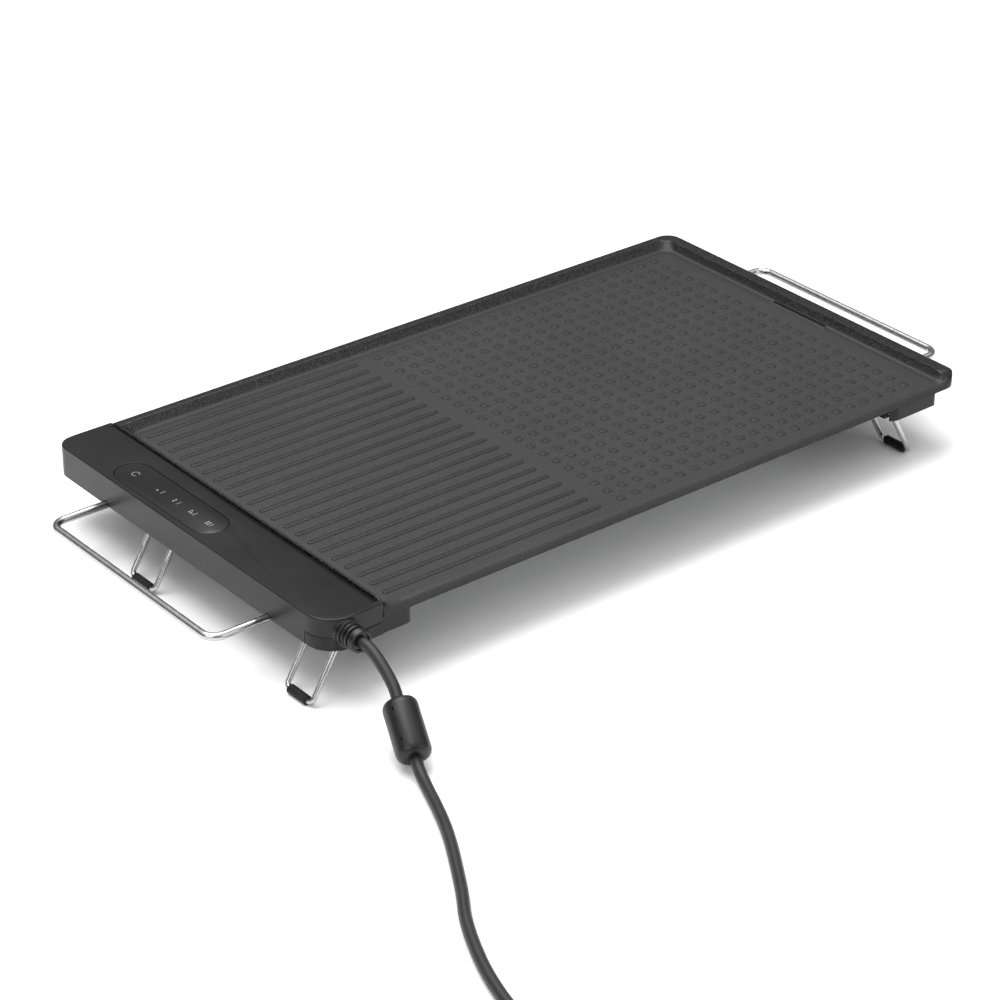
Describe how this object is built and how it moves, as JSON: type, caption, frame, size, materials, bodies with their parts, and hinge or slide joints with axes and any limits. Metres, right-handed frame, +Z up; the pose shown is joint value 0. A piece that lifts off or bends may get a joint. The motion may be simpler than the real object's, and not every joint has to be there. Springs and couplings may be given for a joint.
{
  "type": "electric griddle",
  "caption": "Low rectangular table griddle: ribbed and studded cast plate, end control housing with touch panel, fold-away wire handles and legs, slide-out drip tray and a mains lead.",
  "frame": {"origin": "on the table, under the middle of the body's box over the handles; the free lead is left out of that box", "axes": "+X along the body, from the control housing to the drip-tray end; +Y from the front, where the lead leaves, to the back; +Z up"},
  "size_m": [0.7812, 0.6427, 0.053],
  "materials": {
    "coated_aluminium": "matte dark grey non-stick coating",
    "cover_plastic": "fine satin texture",
    "black_silicone": "matte",
    "gloss_lens": "smooth, glossy, pale printed icons",
    "circuit_board": "satin solder mask",
    "spring_steel": "plain",
    "light_plastic": "satin",
    "relay_plastic": "satin",
    "zinc_steel": "zinc plated",
    "black_screw": "black oxide",
    "element_steel": "heat-darkened stainless steel",
    "ceramic": "unglazed ceramic",
    "wire_insulation": "silicone insulation",
    "tray_steel": "satin stainless steel",
    "wire_steel": "bright drawn wire",
    "black_rubber": "matte",
    "cord_rubber": "satin",
    "moulded_plastic": "satin moulding",
    "brass_pin": "plain"
  },
  "bodies": {
    "griddle_body": {"griddle_plate": "coated_aluminium", "housing_top_cover": "cover_plastic", "housing_bottom_cover": "cover_plastic", "plate_seal": "black_silicone", "touch_lens": "gloss_lens", "touch_board": "circuit_board", "touch_springs": "spring_steel", "indicator_leds": "light_plastic", "touch_cable": "light_plastic", "control_board": "circuit_board", "heater_relay": "relay_plastic", "supply_capacitor": "relay_plastic", "terminal_block": "relay_plastic", "board_screws": "zinc_steel", "cover_screws": "black_screw", "housing_mount_screws": "black_screw", "heating_element": "element_steel", "element_pins": "zinc_steel", "element_insulators": "ceramic", "element_clamps": "zinc_steel", "clamp_screws": "zinc_steel", "temperature_sensor": "zinc_steel", "thermal_fuse": "light_plastic", "inner_wiring": "wire_insulation", "heat_shield": "zinc_steel", "shield_screws": "zinc_steel", "end_bracket": "cover_plastic", "bracket_screws": "black_screw", "tray_rails": "zinc_steel", "cord_gland": "cord_rubber", "cord_inner_end": "cord_rubber", "cord_clamp": "light_plastic", "power_cord": "cord_rubber", "ferrite_choke": "moulded_plastic", "cord_coil": "cord_rubber", "coil_tie": "moulded_plastic", "plug_lead": "cord_rubber", "plug_body": "moulded_plastic", "plug_pins": "brass_pin"},
    "front_left_leg": {"leg_front_left": "wire_steel", "foot_sleeve_front_left": "black_rubber"},
    "rear_left_leg": {"leg_rear_left": "wire_steel", "foot_sleeve_rear_left": "black_rubber"},
    "front_right_leg": {"leg_front_right": "wire_steel", "foot_sleeve_front_right": "black_rubber"},
    "rear_right_leg": {"leg_rear_right": "wire_steel", "foot_sleeve_rear_right": "black_rubber"},
    "left_handle": {"handle_left": "wire_steel"},
    "right_handle": {"handle_right": "wire_steel"},
    "tray": {"drip_tray": "tray_steel"}
  },
  "joints": [
    {"name": "front_left_leg_fold", "type": "hinge", "parent": "griddle_body", "child": "front_left_leg", "pos_m": [-0.241, -0.123, 0.036], "axis": [0, -1, 0], "range_deg": [0, 114]},
    {"name": "rear_left_leg_fold", "type": "hinge", "parent": "griddle_body", "child": "rear_left_leg", "pos_m": [-0.241, 0.036, 0.036], "axis": [0, -1, 0], "range_deg": [0, 114]},
    {"name": "front_right_leg_fold", "type": "hinge", "parent": "griddle_body", "child": "front_right_leg", "pos_m": [0.2005, -0.12, 0.036], "axis": [0, 1, 0], "range_deg": [0, 114]},
    {"name": "rear_right_leg_fold", "type": "hinge", "parent": "griddle_body", "child": "rear_right_leg", "pos_m": [0.2005, 0.036, 0.036], "axis": [0, 1, 0], "range_deg": [0, 114]},
    {"name": "left_handle_fold", "type": "hinge", "parent": "griddle_body", "child": "left_handle", "pos_m": [-0.239, 0, 0.0326], "axis": [0, -1, 0], "range_deg": [0, 170]},
    {"name": "right_handle_fold", "type": "hinge", "parent": "griddle_body", "child": "right_handle", "pos_m": [0.231, 0, 0.0326], "axis": [0, 1, 0], "range_deg": [0, 170]},
    {"name": "drip_tray_slide", "type": "slide", "parent": "griddle_body", "child": "tray", "axis": [1, 0, 0], "range_m": [0, 0.05]}
  ]
}
